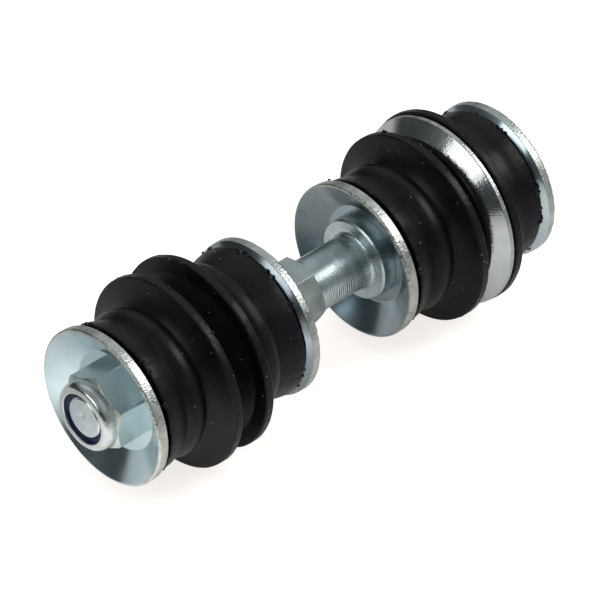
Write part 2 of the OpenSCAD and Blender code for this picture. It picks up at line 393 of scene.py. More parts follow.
# %% Washer sizes
# sheet, then bends and rim, then the torn lip, then the play on the stud, all in mm
WASHER_T, WASHER_FLAT_R, WASHER_BORE_R, BORE_EDGE = 1.5, 12.1, 5.25, 0.2
BEND_R, EDGE_R, BULGE, BULGE_STEPS, SPREAD, GROWTH = 0.9, 0.25, 0.55, 10, 0.40, 0.2
LIP_R, LIP_SWING, LIP_TORN, LIP_OUT, LIP_TO = 0.40, 0.18, 0.12, 0.6, math.radians(140)
TEAR_MM, FINE_TEAR_MM, BUCKLE, BUCKLE_MM, DISH_MM = 1.2, 0.45, 0.05, 11, 7
RIM_DEPTH, EDGE_KEPT, LIP_SIDES, CLOSED_FROM = 1, 0.1, 3, 0.1
PLAY, HANG_TO, WASHER_COLUMNS = 0.15, math.radians(240), 400
print("the washers are pressed from", WASHER_T, "mm strip")

# %% Dished washers
def dished_washer(name, node, body, hollow_to, finish, seed):
    """A washer whose hollow side faces hollow_to (-1 or 1) along X."""
    low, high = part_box(node)
    rim_x, back_x = (low.x, high.x) if hollow_to < 0 else (high.x, low.x)
    rim_x, back_x, rim_r = rim_x / MM, back_x / MM, high.z / MM
    seat_x = back_x + hollow_to * WASHER_T
    slope = abs(rim_x - seat_x) / (rim_r - WASHER_FLAT_R)
    lean = math.atan(slope)
    sheet_x = WASHER_T / math.cos(lean)
    back_r = WASHER_FLAT_R + (sheet_x - WASHER_T) / slope
    lip = (rim_x + hollow_to * SPREAD, rim_r + GROWTH)
    lip_out = LIP_OUT if hollow_to < 0 else LIP_OUT / 4
    edge = (rim_x - hollow_to * (sheet_x + SPREAD), rim_r + GROWTH / 2)
    bulged = []
    for part in (k / BULGE_STEPS for k in range(1, BULGE_STEPS)):
        swell = BULGE * 4 * part * (1 - part)
        bulged.append((edge[0] + (back_x - edge[0]) * part - hollow_to * swell * math.cos(lean),
                       edge[1] + (back_r - edge[1]) * part + swell * math.sin(lean), 0))

    def pressed(angle):
        """Outline at one angle, with the lip rounded more on the side that the press closed on."""
        closed_on = math.cos(angle - LIP_TO)
        torn = wander(seed, TEAR_MM, *lip, angle) + 0.5 * wander(seed + 9, FINE_TEAR_MM, *lip, angle)
        lip_r = LIP_R + LIP_SWING * closed_on + LIP_TORN * torn * max(CLOSED_FROM, closed_on)
        return softened([
            (seat_x, WASHER_BORE_R, BORE_EDGE), (seat_x, WASHER_FLAT_R, BEND_R),
            (lip[0] + hollow_to * lip_out * max(0, closed_on), lip[1], lip_r),
            (*edge, EDGE_R), *bulged, (back_x, back_r, BEND_R),
            (back_x, WASHER_BORE_R, BORE_EDGE)], steps=8)

    def hung(angle):
        """The pressed outline, dropped by its play and buckled a little towards the rim."""
        drop = PLAY * math.cos(angle - HANG_TO)
        row = []
        for x, r in pressed(angle):
            free = max(0, (r - WASHER_FLAT_R) / DISH_MM)
            row.append((x + BUCKLE * free * wander(seed + 40, BUCKLE_MM, x, r, angle), r + drop))
        return row

    band = abs(edge[0] - lip[0]) - EDGE_KEPT
    rims = [r > rim_r - RIM_DEPTH and abs(x - lip[0]) < band for x, r in pressed(0)]
    torn_from = rims.index(True) + LIP_SIDES

    def finish_of(side, angle):
        """The band is sheared all round, and the lip where the press closed."""
        on_closed_side = math.cos(angle - LIP_TO) > CLOSED_FROM
        return int(rims[side] and (side >= torn_from or on_closed_side))

    piece = swept(name, hung, turns(WASHER_COLUMNS), [finish, sheared_zinc], finish_of)
    dress(piece, node, body)


dished_washer("near_outer_dish", "near_outer_washer", "near_washer", -1, blue_zinc, 1)
dished_washer("near_inner_dish", "near_inner_washer", "stud", 1, shade_darkened_zinc, 2)
dished_washer("far_inner_dish", "far_inner_washer", "stud", -1, shade_darkened_zinc, 3)
dished_washer("far_outer_dish", "far_outer_washer", "far_washer", 1, blue_zinc, 4)

# %% [markdown]
# ## The cup
#
# The cup between the far bushings is thin sheet, pressed to a 40 degree wall. It is the brightest mirror
# on the link: its wall shows a window-like light, the dark room and the white table, one after the other.
# That only works if the wall is smooth and its bend is round. The CAD node's mesh is loose flat triangles,
# so the cup is turned again, with a wide bend and many columns.

# %% Pressed cup
CUP_T, CUP_WALL, CUP_SHRINK, CUP_BUCKLE, CUP_COLUMNS = 1.0, math.radians(40), 0.1, 0.03, 360
CUP_BEND_R, CUP_INNER_R, CUP_LIP_R, CUP_BAND = 1.2, 0.8, 0.35, 0.12
low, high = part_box("far_cup_washer")
cup_back, cup_rim, cup_rim_r = low.x / MM, high.x / MM, high.z / MM
cup_flat_r = cup_rim_r - (cup_rim - cup_back - CUP_T) / math.tan(CUP_WALL)
cup_sheet_x = CUP_T / math.cos(CUP_WALL)
cup_back_r = cup_flat_r + (cup_sheet_x - CUP_T) / math.tan(CUP_WALL)
cup_outline = softened([
    (cup_back, WASHER_BORE_R, BORE_EDGE), (cup_back, cup_back_r, CUP_BEND_R),
    (cup_rim - cup_sheet_x, cup_rim_r, CUP_LIP_R), (cup_rim, cup_rim_r, BORE_EDGE),
    (cup_back + CUP_T, cup_flat_r, CUP_INNER_R), (cup_back + CUP_T, WASHER_BORE_R, BORE_EDGE)])


def pressed_cup(angle):
    """The cup's outline at one angle, dropped by its play and hardly buckled."""
    drop = PLAY * math.cos(angle - HANG_TO) - CUP_SHRINK
    return [(x + CUP_BUCKLE * wander(7, 12, x, r, angle), r + drop) for x, r in cup_outline]


cup_rims = [r > cup_rim_r - CUP_BAND for x, r in cup_outline]
cup = swept("far_cup", pressed_cup, turns(CUP_COLUMNS), [cup_zinc, sheared_zinc],
            lambda side, angle: int(cup_rims[side]))
dress(cup, "far_cup_washer", "far_cup")

# %% [markdown]
# ## Rubber bushings
#
# Three bushings are alike and the one in the cup is shorter. From the washer on, each has a dished end, a
# band, a waist groove, a soft ring, a second groove, and a flange with a rounded lip that flares out of a
# tapered boss. Subdividing a few rings would lose the crease at the waist, so the outline joins quarter
# curves that leave or arrive along the axis. Rubber shrinks as it cures, so the sweep moves every point a
# little by noise, and the edge against the washer is left ragged where it was trimmed.

# %% Bushing sizes
# from the washer on, in mm: names that end in BACK are places, measured back from the flange's face
LONG, SHORT, BUSHING_BORE_R, SEAT_R, END_REACH, END_FILL = 14.8, 11.9, 5.25, 13.1, 1.0, 1.75
BAND_R, BAND_END, BAND_END_R = 18.5, 1.0, 18.05
WAIST_R, WAIST_BACK, RING_R, RING_BACK, RING_T = 16.9, 10.5, 18.0, 8.0, 0.9
ROOT_R, ROOT_BACK, FLARE_FROM, FLARE_TO, FLARE_STEPS = 17.0, 4.8, math.radians(20), math.radians(62), 16
LIP_T, LIP_CORNER, BOSS_R, BOSS_TIP_R = 2.2, 0.45, 19.6, 16.5
# waist, ring and root of the short bushing, whose rings nearly merge to a barrel
BARREL = (17.95, 17.5, 17.1)
print("seat to flange:", LONG, "mm on three bushings and", SHORT, "mm on the one in the cup")

# %% Bushing outline
def eased(a, b, arriving, steps=12):
    """Points after a, up to b, written (z, r), that arrive at b, or else leave a, along the axis."""
    quarter = [math.pi / 2 * k / steps for k in range(1, steps + 1)]
    return [(a[0] + (b[0] - a[0]) * t / (math.pi / 2),
             a[1] + (b[1] - a[1]) * (math.sin(t) if arriving else 1 - math.cos(t))) for t in quarter]


def bushing_outline(height, flange_r, boss_height):
    """Outline (z, r) in mm from the seat on the washer to the tip of the boss."""
    waist_r, ring_r, root_r = (WAIST_R, RING_R, ROOT_R) if height > SHORT else BARREL
    waist, ring = (height - WAIST_BACK, waist_r), (height - RING_BACK, ring_r)
    root, lip_back = (height - ROOT_BACK, root_r), (height - LIP_T, flange_r - LIP_CORNER)
    outline = softened([(0, BUSHING_BORE_R, 0), (0, SEAT_R, 0.6), (-END_FILL, BAND_R, 0.35),
                        (BAND_END, BAND_END_R, 0)], closed=False)
    ring_end = (ring[0] + RING_T, ring_r - 0.02)
    outline += [waist] + eased(waist, ring, True) + [ring_end] + eased(ring_end, root, False)
    for k in range(1, FLARE_STEPS + 1):
        flare = FLARE_FROM + (FLARE_TO - FLARE_FROM) * k / FLARE_STEPS
        along = (math.sin(flare) - math.sin(FLARE_FROM)) / (math.sin(FLARE_TO) - math.sin(FLARE_FROM))
        out = (math.cos(FLARE_FROM) - math.cos(flare)) / (math.cos(FLARE_FROM) - math.cos(FLARE_TO))
        outline.append((root[0] + (lip_back[0] - root[0]) * along,
                        root[1] + (lip_back[1] - root[1]) * out))
    outline += softened([(*outline.pop(), 0), (height - LIP_T + 0.15, flange_r, LIP_CORNER),
                         (height, flange_r, LIP_CORNER), (height, BOSS_R + 1, 0)], closed=False)
    tip = height + boss_height
    return outline + [(height, BOSS_R + 0.3), (height + 0.1, BOSS_R), (tip - 0.4, BOSS_TIP_R + 0.3),
                      (tip, BOSS_TIP_R - 0.2), (tip, BUSHING_BORE_R)]


print("a bushing's outline has", len(bushing_outline(LONG, 23.5, 3)), "points")

# %% Rubber bushings
SHRINK, SHRINK_MM, FINE_SHRINK_MM, BUSHING_COLUMNS = 0.13, 9, 3.2, 320
RAGGED, END_TRIM, LIP_TRIM, FIRM_R, FLANGE_GAP = 0.50, 0.9, 1.4, 14, 0.15


def held(value):
    """The value, held between 0 and 1."""
    return min(1, max(0, value))


def bushing(name, node, body, way, height, hang, seed):
    """A bushing that stands on its washer, points its flange along way (-1 or 1) and hangs a little.

    Gives the piece, the place of its seat, its flange's radius, its way and its height."""
    low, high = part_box(node)
    flange_r = high.z / MM
    length = (high.x - low.x) / MM
    boss_height = length - END_REACH - height
    start = (low.x / MM if way > 0 else high.x / MM) + way * END_REACH
    outline = bushing_outline(height, flange_r - FLANGE_GAP, boss_height)

    def shrunk(angle):
        """The outline at one angle, with lumps, a sagging flange and ragged edges at end and lip."""
        row = []
        for z, r in outline:
            x = start + way * z
            free = held((r - FIRM_R) / 3) * held((height - z) / 2 + 0.4)
            lump = wander(seed, SHRINK_MM, x, r, angle)
            lump += 0.35 * wander(seed + 20, FINE_SHRINK_MM, x, r, angle)
            sag = hang * held((r - FIRM_R) / 8) * math.cos(angle - HANG_TO)
            from_end = math.hypot(z + END_FILL, r - BAND_R) / END_TRIM
            from_lip = math.hypot(z - height + LIP_T / 2, r - flange_r) / LIP_TRIM
            trim = RAGGED * (max(0, 1 - from_end) + 0.5 * max(0, 1 - from_lip))
            tears = wander(seed + 60, 1.1, x, r, angle) + 0.6 * wander(seed + 70, 0.5, x, r, angle)
            trim *= tears - 0.35
            row.append((x + way * trim * 0.6, r + SHRINK * lump * free + sag + trim * 0.5))
        return row

    piece = swept(name, shrunk, turns(BUSHING_COLUMNS), [rubber])
    dress(piece, node, body)
    return piece, start, flange_r, way, height


bushings = {}
for end, way, height, hang, seed in (
        ("near_outer", 1, LONG, 0.45, 11), ("near_inner", -1, LONG, 0.10, 12),
        ("far_inner", 1, LONG, 0.40, 13), ("far_outer", -1, SHORT, 0.0, 14)):
    bushings[end + "_rubber"] = bushing(
        end + "_bush", end + "_bushing", end + "_rubber", way, height, hang, seed)

# %% [markdown]
# ## Lock nuts
#
# A lock nut is cold formed from hexagon wire: a cone trims the top of the hexagon, which leaves the curved
# scallops where cone and flats meet, and a thin crown is rolled over the nylon ring. Cutting a cylinder
# with cones by booleans gives poor edges to round, so each column of the sweep works out where the cone
# meets its own flat, and the same rounding as before then gives every scallop its bright edge. The flats
# stay satin, the cone is as rough as a sheared edge and the crown is burnished.

# %% Hexagons
NUT_FLATS, NUT_CORNER, SIDE_COLUMNS, CROWDING = 17, 0.9, 40, 0.14


def hexagon_radius(angle, flats, corner_at, corner_round):
    """Distance from the axis to a hexagon's side at an angle, with its corners rounded off."""
    inner = flats / 2
    off_corner = (angle - corner_at + math.pi / 6) % (math.pi / 3) - math.pi / 6
    off_flat = math.pi / 6 - abs(off_corner)
    centre = (inner - corner_round) / math.cos(math.pi / 6)
    if math.tan(off_flat) * inner < (inner - corner_round) * math.tan(math.pi / 6):
        return inner / math.cos(off_flat)
    across = centre * math.sin(off_corner)
    return centre * math.cos(off_corner) + math.sqrt(max(0, corner_round ** 2 - across ** 2))


def hexagon_turns(corner_at):
    """Angles for a hexagon's columns, closer together near the corners."""
    angles = []
    for side in range(6):
        for u in (k / SIDE_COLUMNS for k in range(SIDE_COLUMNS)):
            crowded = u - CROWDING * math.sin(math.tau * u)
            angles.append(corner_at + (side + crowded) * math.pi / 3)
    return angles


nut_corner_r = hexagon_radius(0, NUT_FLATS, 0, NUT_CORNER)
print("the nut's corners are", round(nut_corner_r, 2), "mm from the axis")

# %% Lock nuts
# hexagon and cone, then the crown with its roll, then the pocket of the nylon ring, in mm
NUT_BORE_R, HEX_HEIGHT, CONE, CONE_EDGE, NECK_R = 5.05, 6.1, math.tan(math.radians(30)), 0.24, 0.2
CROWN_R, ROLL, SQUARE, ROLL_STEPS, TOP_GAP = 8.4, 1.85, 0.72, 14, 0.03
OPENING_R, OPENING_EDGE, POCKET_R, POCKET_Z, LIP_Z = 6.15, 0.25, 6.8, 6.675, 9.12


def lock_nut(name, node, body, way, corner_at, seed):
    """A nut that stands on its washer and points its crown along way (-1 or 1)."""
    low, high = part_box(node)
    seat, top = (low.x, high.x) if way > 0 else (high.x, low.x)
    seat, height = seat / MM, abs(top - seat) / MM
    corner_at = math.radians(corner_at)

    def column(angle):
        """Outline at one angle: seat, flat, cone, rolled crown and the pocket inside."""
        side = hexagon_radius(angle, NUT_FLATS, corner_at, NUT_CORNER)
        z_high = HEX_HEIGHT + (nut_corner_r - side) * CONE
        z_neck = HEX_HEIGHT + (nut_corner_r - CROWN_R) * CONE
        z_top = height - TOP_GAP
        dome = [(z_neck + (z_top - z_neck) * math.sin(t) ** SQUARE,
                 CROWN_R - ROLL * (1 - max(0, math.cos(t)) ** SQUARE), 0)
                for t in (math.pi / 2 * k / ROLL_STEPS for k in range(2, ROLL_STEPS + 1))]
        path = softened([
            (0, NUT_BORE_R, 0), (0, side, 0), (z_high, side, CONE_EDGE),
            (z_neck, CROWN_R, NECK_R), *dome, (z_top, OPENING_R, OPENING_EDGE),
            (LIP_Z, OPENING_R, 0.05), (LIP_Z, POCKET_R, 0), (POCKET_Z, POCKET_R, 0),
            (POCKET_Z, NUT_BORE_R, 0)], steps=6, room=0.03)
        return [(seat + way * (z + 0.025 * wander(seed, 3, z, r, angle) * min(1, z)),
                 r + 0.02 * wander(seed + 5, 2.5, z, r, angle)) for z, r in path]

    chosen = []
    for x, r in column(corner_at):
        over_flats, on_cone = way * (x - seat) > HEX_HEIGHT - 0.2, r > CROWN_R + 0.05
        chosen.append((2 if on_cone else 1) if over_flats else 0)
    piece = swept(name, column, hexagon_turns(corner_at), [formed_zinc, crown_zinc, sheared_zinc],
                  lambda side, angle: chosen[side])
    dress(piece, node, body)


lock_nut("near_nut", "near_lock_nut", "near_nut", -1, 34, 21)
lock_nut("far_nut", "far_lock_nut", "far_nut", 1, 52, 22)

# %% [markdown]
# ## Nylon rings
#
# The ring in the crown grips the thread and keeps the nut from shaking loose. A plain tube would do, but
# its inner edges show in the opening, so they are rounded and its bore wanders a little.

# %% Nylon rings
RING_INNER_EDGE, RING_OUTER_EDGE, RING_WANDER, RING_COLUMNS = 0.3, 0.2, 0.04, 128


def nylon_ring(name, node, body):
    """A ring that fills the place of its CAD node, with rounded edges."""
    low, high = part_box(node)
    x0, x1, outer = low.x / MM, high.x / MM, high.z / MM
    outline = softened([
        (x0, NUT_BORE_R, RING_INNER_EDGE), (x1, NUT_BORE_R, RING_INNER_EDGE),
        (x1, outer, RING_OUTER_EDGE), (x0, outer, RING_OUTER_EDGE)])

    def squeezed(angle):
        """The outline at one angle, with a bore that is not quite true."""
        return [(x, r + RING_WANDER * wander(31, 2, x, r, angle)) for x, r in outline]

    piece = swept(name, squeezed, turns(RING_COLUMNS), [nylon])
    dress(piece, node, body)


nylon_ring("near_lock_ring", "near_nylon_ring", "near_nut")
nylon_ring("far_lock_ring", "far_nylon_ring", "far_nut")

# %% [markdown]
# ## The stud
#
# The stud is one steel bar: a thread at each end, a wrench hexagon, a plain shank and a collar. The shank
# and the collar's face keep the rings of the lathe tool, and the end has the small dimple of a centre
# drill. All of this is one sweep from tip to tip. The rings are real ridges, because light along a turned
# bar breaks up on them, and a bump would flatten at the outline.

# %% Stud sizes
# ends, then hexagon, then shank and collar, then places along X, in mm
THREAD_R, CORE_R, TIP_CHAMFER, TIP_LAND, TIP_END = 5.0, 4.35, 0.35, 1.4, 2
FACE_STEP, FACE_STEPS, DIMPLE, DIMPLE_AT, DIMPLE_AREA = 0.1, 44, 0.22, (0.5, 0.4), 0.3
HEX_FLATS, HEX_CORNER_R, HEX_FACE_R, HEX_CORNER_AT = 15.0, 0.15, 7.2, math.radians(2)
SHANK_R, SHANK_FILLET, COLLAR_R, COLLAR_CHAMFER = 6.5, 1.2, 10.0, 0.4
HEX_START, HEX_END, COLLAR_X, COLLAR_END = -17.25, -0.75, 15.15, 18.95
SHANK_FROM, SHANK_TO = HEX_END + 0.6, COLLAR_X - SHANK_FILLET
low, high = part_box("link_stud")
tip_near, tip_far = low.x / MM, high.x / MM
print("the stud runs from", round(tip_near, 2), "to", round(tip_far, 2), "mm")

# %% Tool marks
RING_PITCH, RING_DEPTH, RING_STEPS = 0.62, 0.045, 8


def dimple(r, angle):
    """Depth in mm of the centre drill's mark, which sits a little off the axis."""
    off = (r * math.cos(angle) - DIMPLE_AT[0]) ** 2 + (r * math.sin(angle) - DIMPLE_AT[1]) ** 2
    return DIMPLE * math.exp(-off / DIMPLE_AREA)


def tool_marks(along, x, r, angle):
    """Height in mm of the lathe rings, which fade in and out round the bar."""
    fade = 0.75 + 0.9 * wander(71, 4, x, r, angle)
    pitch = along / RING_PITCH + 0.4 * noise.noise(Vector((along / 2.3, 0, 4)))
    return RING_DEPTH * max(0, fade) * math.sin(math.tau * pitch)


print("the shank carries about", int((SHANK_TO - SHANK_FROM) / RING_PITCH), "rings")

# %% Stud
def near_half(angle):
    """Outline from the middle of the near end to the start of the shank."""
    side = hexagon_radius(angle, HEX_FLATS, HEX_CORNER_AT, HEX_CORNER_R)
    trim = max(0.02, (side - HEX_FACE_R) * CONE)
    face = [(tip_near + dimple(r, angle), r) for r in (FACE_STEP * k for k in range(FACE_STEPS))]
    return face + softened([
        (tip_near, FACE_STEP * FACE_STEPS, 0), (tip_near, THREAD_R - TIP_CHAMFER, 0.2),
        (tip_near + TIP_CHAMFER, THREAD_R, 0.2), (tip_near + TIP_LAND, THREAD_R, 0),
        (tip_near + TIP_END, CORE_R, 0), (HEX_START, CORE_R, 0),
        (HEX_START, HEX_FACE_R, 0.1), (HEX_START + trim, side, 0.12), (HEX_END - trim, side, 0.12),
        (HEX_END, HEX_FACE_R, 0.15), (HEX_END, SHANK_R, 0.25), (SHANK_FROM, SHANK_R, 0)], closed=False)


def shank(angle):
    """Outline of the ringed shank, its fillet and the ringed face of the collar."""
    steps = int((SHANK_TO - SHANK_FROM) / RING_PITCH * RING_STEPS)
    path = []
    for k in range(1, steps + 1):
        x = SHANK_FROM + (SHANK_TO - SHANK_FROM) * k / steps
        path.append((x, SHANK_R + tool_marks(x, x, SHANK_R, angle)))
    path += [(SHANK_TO + SHANK_FILLET * math.sin(t), SHANK_R + SHANK_FILLET * (1 - math.cos(t)))
             for t in (math.pi / 2 * k / 10 for k in range(1, 11))]
    face_r = SHANK_R + SHANK_FILLET
    while face_r < COLLAR_R - COLLAR_CHAMFER - 0.2:
        face_r += RING_PITCH / RING_STEPS
        path.append((COLLAR_X + tool_marks(face_r, COLLAR_X, face_r, angle), face_r))
    return path


far_half = softened([
    (COLLAR_X, COLLAR_R - COLLAR_CHAMFER - 0.1, 0), (COLLAR_X, COLLAR_R - COLLAR_CHAMFER, 0.05),
    (COLLAR_X + COLLAR_CHAMFER, COLLAR_R, 0.15), (COLLAR_END, COLLAR_R, 0.15), (COLLAR_END, CORE_R, 0),
    (tip_far - TIP_END, CORE_R, 0), (tip_far - TIP_LAND, THREAD_R, 0),
    (tip_far - TIP_CHAMFER, THREAD_R, 0.2), (tip_far, THREAD_R - TIP_CHAMFER, 0.2),
    (tip_far, 0, 0)], closed=False)


def stud_column(angle):
    """The whole outline at one angle."""
    return near_half(angle) + shank(angle) + far_half


drawn = [HEX_START - 0.1 < x < HEX_END + 0.05 and r > SHANK_R for x, r in stud_column(0)]
stud = swept("link_bar", stud_column, hexagon_turns(HEX_CORNER_AT), [turned_zinc, drawn_zinc],
             lambda side, angle: int(drawn[side]), closed=False)
dress(stud, "link_stud", "stud")

# %% [markdown]
# ## The threads
#
# A thread is a ridge on a helix. A Screw modifier could wind it, but Geometry Nodes show each step: a
# spiral curve carries a small diamond, half of which is sunk in the bar, so a V stands up. Each end of the
# stud gets its own ridge with the pitch of an M10 thread. Three helpers come first: one starts a tree with
# named inputs, one ends it, and one runs it and keeps the result as a plain mesh.

# %% Helpers for geometry trees
def new_tree(name, sockets):
    """A geometry tree with named inputs, its input node and its output node."""
    group = bpy.data.node_groups.new(name, "GeometryNodeTree")
    group.interface.new_socket("Geometry", in_out="INPUT", socket_type="NodeSocketGeometry")
    for label, kind in sockets:
        group.interface.new_socket(label, in_out="INPUT", socket_type="NodeSocket" + kind)
    group.interface.new_socket("Geometry", in_out="OUTPUT", socket_type="NodeSocketGeometry")
    return group, add(group, "NodeGroupInput").outputs, add(group, "NodeGroupOutput")


def grown(name, group, values, carrier=None):
    """Plain mesh object from a geometry tree run on a carrier mesh, with its inputs set by label."""
    holder = bpy.data.objects.new(name + "_holder", carrier or bpy.data.meshes.new(name + "_empty"))
    scene.collection.objects.link(holder)
    modifier = holder.modifiers.new("tree", "NODES")
    modifier.node_group = group
    for item in group.interface.items_tree:
        if item.item_type == "SOCKET" and item.in_out == "INPUT" and item.name in values:
            modifier[item.identifier] = values[item.name]
    bpy.context.view_layer.update()
    ready = holder.evaluated_get(bpy.context.evaluated_depsgraph_get())
    mesh = bpy.data.meshes.new_from_object(ready)
    mesh.name = name
    bpy.data.objects.remove(holder)
    piece = bpy.data.objects.new(name, mesh)
    scene.collection.objects.link(piece)
    return piece


def close_tree(group, geometry, material, result):
    """Ends a tree: makes instances real, sets the material and links the result."""
    real = add(group, "GeometryNodeRealizeInstances", inputs={"Geometry": geometry})
    coated = add(group, "GeometryNodeSetMaterial", inputs={
        "Geometry": real.outputs["Geometry"], "Material": material})
    group.links.new(coated.outputs["Geometry"], result.inputs["Geometry"])
    print("the tree of the", group.name, "has", len(group.nodes), "nodes")


print("geometry trees so far:", len(bpy.data.node_groups))

# %% Thread tree
HELIX_STEPS = 40
thread_tree, given, result = new_tree("helical thread", [
    ("Start", "Float"), ("Length", "Float"), ("Pitch", "Float"), ("Core Radius", "Float"),
    ("Ridge", "Float"), ("Material", "Material")])
thread_turns = add(thread_tree, "ShaderNodeMath", {"operation": "DIVIDE"},
                   {0: given["Length"], 1: given["Pitch"]})
helix = add(thread_tree, "GeometryNodeCurveSpiral", inputs={
    "Resolution": HELIX_STEPS, "Rotations": thread_turns.outputs[0], "Start Radius": given["Core Radius"],
    "End Radius": given["Core Radius"], "Height": given["Length"]})
upright = add(thread_tree, "GeometryNodeSetCurveNormal", {"mode": "Z_UP"}, {
    "Curve": helix.outputs["Curve"]})
ridge = add(thread_tree, "GeometryNodeCurvePrimitiveCircle", inputs={
    "Resolution": 4, "Radius": given["Ridge"]})
wound = add(thread_tree, "GeometryNodeCurveToMesh", inputs={
    "Curve": upright.outputs["Curve"], "Profile Curve": ridge.outputs["Curve"], "Fill Caps": True})
start_at = add(thread_tree, "ShaderNodeCombineXYZ", inputs={"X": given["Start"]})
laid = add(thread_tree, "GeometryNodeTransform", inputs={
    "Geometry": wound.outputs["Mesh"], "Translation": start_at.outputs["Vector"],
    "Rotation": (0, math.pi / 2, 0)})
close_tree(thread_tree, laid.outputs["Geometry"], given["Material"], result)

# %% Threads
PITCH_MM, RIDGE_MM, LEAD_MM = 1.25, 0.60, 1.2
for name, start, stop in (("near_thread", tip_near + LEAD_MM, HEX_START),
                          ("far_thread", COLLAR_END, tip_far - LEAD_MM)):
    thread = grown(name, thread_tree, {
        "Start": start * MM, "Length": (stop - start) * MM, "Pitch": PITCH_MM * MM,
        "Core Radius": CORE_R * MM, "Ridge": RIDGE_MM * MM, "Material": turned_zinc})
    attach(thread, "stud")
    print(name, "has", len(thread.data.polygons), "faces")

# %% [markdown]
# ## Mould flash and dust
#
# Where the halves of a rubber mould meet, a thin skin of rubber is squeezed out and trimmed by hand, which
# leaves small nibs along the lip of a flange and the edge of its end. Specks of dust cling to the rubber.
# Both could be placed by hand, but Geometry Nodes scatter them with a fixed seed and without a pattern:
# nibs on two circles, specks on the bushing's faces.

# %% Mould flash tree
flash_tree, given, result = new_tree("mould flash", [
    ("Lip X", "Float"), ("Lip Radius", "Float"), ("End X", "Float"), ("End Radius", "Float"),
    ("Nibs", "Int"), ("Kept", "Float"), ("Length", "Float"), ("Seed", "Int"), ("Material", "Material")])
circles = []
for where in ("Lip", "End"):
    loop = add(flash_tree, "GeometryNodeMeshCircle", inputs={
        "Vertices": given["Nibs"], "Radius": given[where + " Radius"]})
    shift = add(flash_tree, "ShaderNodeCombineXYZ", inputs={"X": given[where + " X"]})
    circles.append(add(flash_tree, "GeometryNodeTransform", inputs={
        "Geometry": loop.outputs["Mesh"], "Translation": shift.outputs["Vector"],
        "Rotation": (0, math.pi / 2, 0)}).outputs["Geometry"])
both = add(flash_tree, "GeometryNodeJoinGeometry")
for circle in circles:
    flash_tree.links.new(circle, both.inputs["Geometry"])
radial = add(flash_tree, "ShaderNodeVectorMath", {"operation": "MULTIPLY"}, {
    0: add(flash_tree, "GeometryNodeInputPosition").outputs["Position"], 1: (0, 1, 1)})
facing = add(flash_tree, "FunctionNodeAlignRotationToVector", {"axis": "Z"}, {
    "Vector": radial.outputs["Vector"]})
kept = add(flash_tree, "FunctionNodeRandomValue", {"data_type": "BOOLEAN"}, {
    "Probability": given["Kept"], "Seed": given["Seed"]})
size = add(flash_tree, "FunctionNodeRandomValue", {"data_type": "FLOAT_VECTOR"}, {
    "Min": (0.5, 0.6, 0.15), "Max": (1.6, 1.4, 1.0), "Seed": given["Seed"]})
nib = add(flash_tree, "GeometryNodeMeshCone", inputs={
    "Vertices": 6, "Radius Top": 0.0, "Radius Bottom": given["Length"], "Depth": given["Length"]})
placed = add(flash_tree, "GeometryNodeInstanceOnPoints", inputs={
    "Points": both.outputs["Geometry"], "Selection": kept.outputs[3], "Instance": nib.outputs["Mesh"],
    "Rotation": facing.outputs["Rotation"], "Scale": size.outputs[0]})
close_tree(flash_tree, placed.outputs["Instances"], given["Material"], result)

# %% Dust tree
dust_tree, given, result = new_tree("dust specks", [
    ("Density", "Float"), ("Speck", "Float"), ("Seed", "Int"), ("Material", "Material")])
spots = add(dust_tree, "GeometryNodeDistributePointsOnFaces", inputs={
    "Mesh": given["Geometry"], "Density": given["Density"], "Seed": given["Seed"]})
size = add(dust_tree, "FunctionNodeRandomValue", {"data_type": "FLOAT_VECTOR"}, {
    "Min": (0.4, 0.4, 0.3), "Max": (1.3, 1.1, 0.6), "Seed": given["Seed"]})
speck = add(dust_tree, "GeometryNodeMeshIcoSphere", inputs={
    "Radius": given["Speck"], "Subdivisions": 1})
placed = add(dust_tree, "GeometryNodeInstanceOnPoints", inputs={
    "Points": spots.outputs["Points"], "Instance": speck.outputs["Mesh"],
    "Rotation": spots.outputs["Rotation"], "Scale": size.outputs[0]})
close_tree(dust_tree, placed.outputs["Instances"], given["Material"], result)

# %% Flash and dust on each bushing
NIB_MM, NIBS, NIBS_KEPT, SPECK_MM, DUST_PER_M2 = 0.58, 170, 0.16, 0.13, 12000.0
LIP_SUNK, LIP_BEHIND, END_SUNK, END_BEHIND = 0.55, 0.4, 0.1, 0.3
for seed, (body, (piece, start, flange_r, way, height)) in enumerate(bushings.items()):
    flash = grown(body + "_flash", flash_tree, {
        "Lip X": (start + way * (height - LIP_BEHIND)) * MM, "Lip Radius": (flange_r - LIP_SUNK) * MM,
        "End X": (start - way * (END_FILL - END_BEHIND)) * MM, "End Radius": (BAND_R - END_SUNK) * MM,
        "Nibs": NIBS, "Kept": NIBS_KEPT, "Length": NIB_MM * MM, "Seed": seed + 3, "Material": rubber})
    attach(flash, body)
    specks = grown(body + "_dust", dust_tree, {
        "Density": DUST_PER_M2, "Speck": SPECK_MM * MM, "Seed": seed + 8, "Material": dust},
        carrier=piece.data.copy())
    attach(specks, body)
    print(body, "carries", len(flash.data.polygons), "faces of flash and",
          len(specks.data.polygons), "of dust")

# %% [markdown]
# ## The table
#
# The link lies on white paper. More lamps would whiten it, but they would wash out the link too, so the
# paper is a plain diffuse sheet that also glows for the camera: it turns white away from the link and keeps
# the shadow where the rubber touches it. For mirrored rays it also glows in two painted pools of light, a
# strong one beyond the near end and a wide faint one round the link, which the metal shows.

# %% White paper
table_z = cad_box[0][2]
FIBRE_MM, PAPER_GLOW = 3, 0.82
# painted pools of light, a glow seen only in reflections: centre in m, then the distances where a pool
# starts to fade and ends, then its strength
POOLS = [((-0.100, -0.030, table_z), 0.025, 0.072, 0.70), ((0, -0.03, table_z), 0.07, 0.13, 0.20)]

